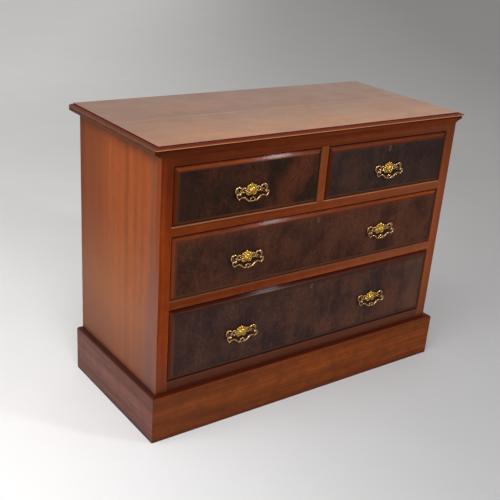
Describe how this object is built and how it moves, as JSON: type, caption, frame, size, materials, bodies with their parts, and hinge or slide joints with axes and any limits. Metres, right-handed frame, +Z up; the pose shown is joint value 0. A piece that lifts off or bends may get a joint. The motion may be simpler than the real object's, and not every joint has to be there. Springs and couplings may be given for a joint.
{
  "type": "chest of drawers",
  "caption": "Mahogany chest of drawers with short drawers over long ones, figured veneer panels, brass bail handles, locks, a moulded top and a projecting plinth.",
  "frame": {"origin": "on the floor, in the middle of the overall width and depth", "axes": "+X to the right along the front, +Y from the front to the back, +Z up; the drawers open towards -Y"},
  "size_m": [1.08, 0.495, 0.83],
  "materials": {
    "mahogany_top": "satin french polish, faded",
    "mahogany_side": "satin french polish",
    "mahogany_frame": "satin french polish",
    "mahogany_front": "satin french polish",
    "mahogany_plinth": "satin french polish",
    "burr_veneer": "polished figured veneer",
    "drawer_lining": "bare, planed",
    "softwood": "bare, planed",
    "handle_brass": "cast, aged polish",
    "lock_brass": "aged",
    "iron_nail": "dull, dark"
  },
  "bodies": {
    "carcass": {"side_left": "mahogany_side", "side_right": "mahogany_side", "front_stiles": "mahogany_frame", "front_rails": "mahogany_frame", "drawer_divider": "mahogany_frame", "drawer_runners": "softwood", "drawer_guides": "softwood", "drawer_stops": "softwood", "rear_rails": "softwood", "back_boards": "softwood", "back_nails": "iron_nail", "plinth_front": "mahogany_plinth", "plinth_left": "mahogany_plinth", "plinth_right": "mahogany_plinth", "plinth_glue_blocks": "softwood", "top_boards": "mahogany_top", "top_frieze": "mahogany_frame", "top_cleats": "mahogany_side"},
    "drawer_upper_left": {"drawer_upper_left_front": "mahogany_front", "drawer_upper_left_field": "burr_veneer", "drawer_upper_left_sides": "drawer_lining", "drawer_upper_left_back": "drawer_lining", "drawer_upper_left_bottom": "drawer_lining", "drawer_upper_left_lock": "lock_brass", "drawer_upper_left_handle_plates": "handle_brass", "drawer_upper_left_handle_posts": "handle_brass"},
    "drawer_upper_left_lock_bolt": {"drawer_upper_left_lock_bolt": "lock_brass"},
    "drawer_upper_left_bail": {"drawer_upper_left_bail": "handle_brass"},
    "drawer_upper_right": {"drawer_upper_right_front": "mahogany_front", "drawer_upper_right_field": "burr_veneer", "drawer_upper_right_sides": "drawer_lining", "drawer_upper_right_back": "drawer_lining", "drawer_upper_right_bottom": "drawer_lining", "drawer_upper_right_lock": "lock_brass", "drawer_upper_right_handle_plates": "handle_brass", "drawer_upper_right_handle_posts": "handle_brass"},
    "drawer_upper_right_lock_bolt": {"drawer_upper_right_lock_bolt": "lock_brass"},
    "drawer_upper_right_bail": {"drawer_upper_right_bail": "handle_brass"},
    "drawer_middle": {"drawer_middle_front": "mahogany_front", "drawer_middle_field": "burr_veneer", "drawer_middle_sides": "drawer_lining", "drawer_middle_back": "drawer_lining", "drawer_middle_bottom": "drawer_lining", "drawer_middle_lock": "lock_brass", "drawer_middle_handle_plates": "handle_brass", "drawer_middle_handle_posts": "handle_brass"},
    "drawer_middle_lock_bolt": {"drawer_middle_lock_bolt": "lock_brass"},
    "drawer_middle_bail_left": {"drawer_middle_bail_left": "handle_brass"},
    "drawer_middle_bail_right": {"drawer_middle_bail_right": "handle_brass"},
    "drawer_lower": {"drawer_lower_front": "mahogany_front", "drawer_lower_field": "burr_veneer", "drawer_lower_sides": "drawer_lining", "drawer_lower_back": "drawer_lining", "drawer_lower_bottom": "drawer_lining", "drawer_lower_lock": "lock_brass", "drawer_lower_handle_plates": "handle_brass", "drawer_lower_handle_posts": "handle_brass"},
    "drawer_lower_lock_bolt": {"drawer_lower_lock_bolt": "lock_brass"},
    "drawer_lower_bail_left": {"drawer_lower_bail_left": "handle_brass"},
    "drawer_lower_bail_right": {"drawer_lower_bail_right": "handle_brass"}
  },
  "joints": [
    {"name": "drawer_upper_left_slide", "type": "slide", "parent": "carcass", "child": "drawer_upper_left", "axis": [0, -1, 0], "range_m": [0, 0.3]},
    {"name": "drawer_upper_left_lock_bolt_slide", "type": "slide", "parent": "drawer_upper_left", "child": "drawer_upper_left_lock_bolt", "axis": [0, 0, 1], "range_m": [0, 0.008]},
    {"name": "drawer_upper_left_bail_hinge", "type": "hinge", "parent": "drawer_upper_left", "child": "drawer_upper_left_bail", "pos_m": [-0.2475, -0.2405, 0.683], "axis": [-1, 0, 0], "range_deg": [-18, 175]},
    {"name": "drawer_upper_right_slide", "type": "slide", "parent": "carcass", "child": "drawer_upper_right", "axis": [0, -1, 0], "range_m": [0, 0.3]},
    {"name": "drawer_upper_right_lock_bolt_slide", "type": "slide", "parent": "drawer_upper_right", "child": "drawer_upper_right_lock_bolt", "axis": [0, 0, 1], "range_m": [0, 0.008]},
    {"name": "drawer_upper_right_bail_hinge", "type": "hinge", "parent": "drawer_upper_right", "child": "drawer_upper_right_bail", "pos_m": [0.2475, -0.2405, 0.683], "axis": [-1, 0, 0], "range_deg": [-18, 175]},
    {"name": "drawer_middle_slide", "type": "slide", "parent": "carcass", "child": "drawer_middle", "axis": [0, -1, 0], "range_m": [0, 0.3]},
    {"name": "drawer_middle_lock_bolt_slide", "type": "slide", "parent": "drawer_middle", "child": "drawer_middle_lock_bolt", "axis": [0, 0, 1], "range_m": [0, 0.008]},
    {"name": "drawer_middle_bail_left_hinge", "type": "hinge", "parent": "drawer_middle", "child": "drawer_middle_bail_left", "pos_m": [-0.2475, -0.2405, 0.493], "axis": [-1, 0, 0], "range_deg": [-18, 175]},
    {"name": "drawer_middle_bail_right_hinge", "type": "hinge", "parent": "drawer_middle", "child": "drawer_middle_bail_right", "pos_m": [0.2475, -0.2405, 0.493], "axis": [-1, 0, 0], "range_deg": [-18, 175]},
    {"name": "drawer_lower_slide", "type": "slide", "parent": "carcass", "child": "drawer_lower", "axis": [0, -1, 0], "range_m": [0, 0.3]},
    {"name": "drawer_lower_lock_bolt_slide", "type": "slide", "parent": "drawer_lower", "child": "drawer_lower_lock_bolt", "axis": [0, 0, 1], "range_m": [0, 0.008]},
    {"name": "drawer_lower_bail_left_hinge", "type": "hinge", "parent": "drawer_lower", "child": "drawer_lower_bail_left", "pos_m": [-0.2475, -0.2405, 0.2645], "axis": [-1, 0, 0], "range_deg": [-18, 175]},
    {"name": "drawer_lower_bail_right_hinge", "type": "hinge", "parent": "drawer_lower", "child": "drawer_lower_bail_right", "pos_m": [0.2475, -0.2405, 0.2645], "axis": [-1, 0, 0], "range_deg": [-18, 175]}
  ]
}
